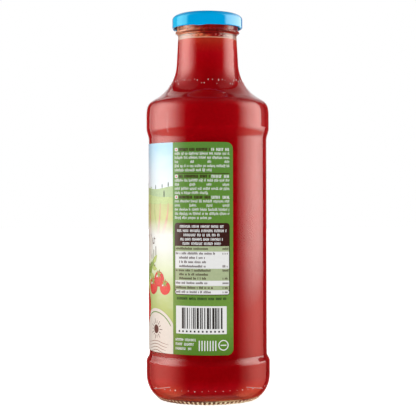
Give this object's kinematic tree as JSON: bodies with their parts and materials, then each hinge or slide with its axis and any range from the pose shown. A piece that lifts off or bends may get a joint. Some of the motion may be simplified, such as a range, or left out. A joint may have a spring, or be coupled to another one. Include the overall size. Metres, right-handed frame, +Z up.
{
  "type": "passata bottle",
  "caption": "Shut glass bottle of smooth tomato passata with a blue metal twist-off cap, a long neck, a round shoulder and a green wrap-round paper label.",
  "frame": {"origin": "centre of the ring that the bottle stands on", "axes": "+Z up along the bottle's axis, towards the cap; -Y out of the label's information panel; +X to the right of someone who looks at that panel"},
  "size_m": [0.0756, 0.0756, 0.2346],
  "materials": {
    "clear_glass": "clear and glossy, with fine mould marks at the heel",
    "tomato_passata": "smooth and wet, deep red",
    "blue_enamel": "glossy light blue enamel on pressed steel",
    "label_paper": "printed and varnished, mostly leaf green"
  },
  "bodies": {
    "root": {"glass_bottle": "clear_glass", "passata": "tomato_passata", "cap": "blue_enamel", "label": "label_paper"}
  },
  "joints": []
}
